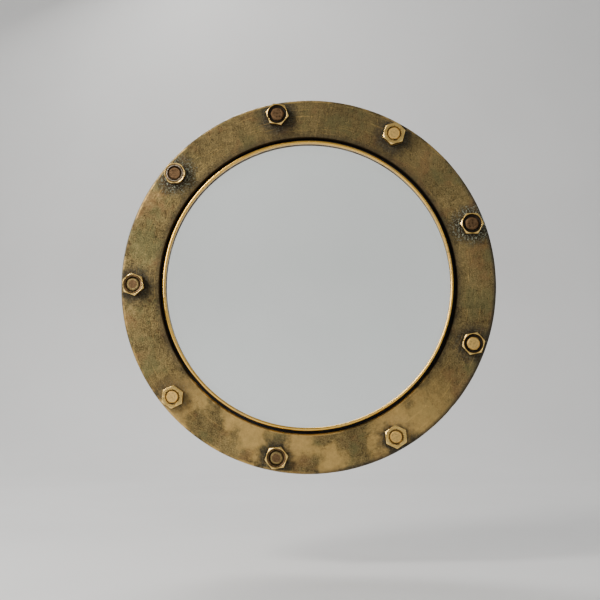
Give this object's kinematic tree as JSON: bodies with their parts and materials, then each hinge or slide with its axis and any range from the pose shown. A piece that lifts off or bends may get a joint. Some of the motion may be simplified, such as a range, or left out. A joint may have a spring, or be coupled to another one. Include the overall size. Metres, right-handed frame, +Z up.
{
  "type": "opening porthole",
  "caption": "Round opening porthole: a broad brass flange with hexagon nuts clamped through a cabin side, and a hinged glazed leaf with a thin bead, held shut by swing bolts.",
  "frame": {"origin": "on the porthole's axis, in the plane of the outboard flange's back face, at the centre of the hole in the cabin side", "axes": "Y along the porthole's axis: -Y outboard, +Y inboard where the leaf opens; +X towards the hinge; +Z up"},
  "size_m": [0.4, 0.0768, 0.4],
  "materials": {
    "weathered_brass": "mottled brown-olive patina with scratches, darker in the corners and brighter on the rim",
    "nut_brass": "worn bright on the edges, dark in the recesses",
    "leaf_brass": "polished, lightly scratched",
    "dog_brass": "satin, worn by handling",
    "black_rubber": "matt",
    "clear_glass": "clear, toughened"
  },
  "bodies": {
    "frame": {"main_frame": "weathered_brass", "clamp_ring": "weathered_brass", "bedding_gasket": "black_rubber", "clamp_bolt_1": "nut_brass", "clamp_bolt_2": "nut_brass", "clamp_bolt_3": "nut_brass", "clamp_bolt_4": "nut_brass", "clamp_bolt_5": "nut_brass", "clamp_bolt_6": "nut_brass", "clamp_bolt_7": "nut_brass", "clamp_bolt_8": "nut_brass", "clamp_bolt_9": "nut_brass", "clamp_nut_1": "nut_brass", "clamp_nut_2": "nut_brass", "clamp_nut_3": "nut_brass", "clamp_nut_4": "nut_brass", "clamp_nut_5": "nut_brass", "clamp_nut_6": "nut_brass", "clamp_nut_7": "nut_brass", "clamp_nut_8": "nut_brass", "clamp_nut_9": "nut_brass", "hinge_pin": "leaf_brass", "hinge_split_pin": "leaf_brass", "upper_dog_pivot_pin": "dog_brass", "lower_dog_pivot_pin": "dog_brass"},
    "leaf": {"leaf_frame": "leaf_brass", "glass_pane": "clear_glass", "glazing_gasket": "black_rubber", "glass_retaining_ring": "leaf_brass", "leaf_seal": "black_rubber", "hinge_bush_upper": "leaf_brass", "hinge_bush_lower": "leaf_brass", "upper_dog_fork": "leaf_brass", "upper_fork_screw_1": "leaf_brass", "upper_fork_screw_2": "leaf_brass", "lower_dog_fork": "leaf_brass", "lower_fork_screw_1": "leaf_brass", "lower_fork_screw_2": "leaf_brass"},
    "upper_swing_bolt": {"upper_dog_bolt": "dog_brass"},
    "upper_washer": {"upper_dog_washer": "dog_brass"},
    "upper_wing_nut": {"upper_dog_wing_nut": "dog_brass"},
    "lower_swing_bolt": {"lower_dog_bolt": "dog_brass"},
    "lower_washer": {"lower_dog_washer": "dog_brass"},
    "lower_wing_nut": {"lower_dog_wing_nut": "dog_brass"}
  },
  "joints": [
    {"name": "leaf_hinge", "type": "hinge", "parent": "frame", "child": "leaf", "pos_m": [0.184, 0.044, 0], "axis": [0, 0, -1], "range_deg": [0, 170]},
    {"name": "upper_dog_swing", "type": "hinge", "parent": "frame", "child": "upper_swing_bolt", "pos_m": [-0.08775, 0.0345, 0.15199], "axis": [0.866, 0, 0.5], "range_deg": [-60, 0]},
    {"name": "upper_washer_slide", "type": "slide", "parent": "upper_swing_bolt", "child": "upper_washer", "axis": [-0.433, 0.5, 0.75], "range_m": [-0.0032, 0]},
    {"name": "upper_wing_nut_spin", "type": "hinge", "parent": "upper_washer", "child": "upper_wing_nut", "pos_m": [-0.09728, 0.0455, 0.16849], "axis": [-0.433, 0.5, 0.75], "range_deg": [-720, 0]},
    {"name": "lower_dog_swing", "type": "hinge", "parent": "frame", "child": "lower_swing_bolt", "pos_m": [-0.08775, 0.0345, -0.15199], "axis": [-0.866, 0, 0.5], "range_deg": [-60, 0]},
    {"name": "lower_washer_slide", "type": "slide", "parent": "lower_swing_bolt", "child": "lower_washer", "axis": [-0.433, 0.5, -0.75], "range_m": [-0.0032, 0]},
    {"name": "lower_wing_nut_spin", "type": "hinge", "parent": "lower_washer", "child": "lower_wing_nut", "pos_m": [-0.09728, 0.0455, -0.16849], "axis": [-0.433, 0.5, -0.75], "range_deg": [-720, 0]}
  ],
  "couplings": [
    {"joint": "upper_washer_slide", "follows": "upper_wing_nut_spin", "m_per_rad": 0.00025465},
    {"joint": "lower_washer_slide", "follows": "lower_wing_nut_spin", "m_per_rad": 0.00025465}
  ]
}
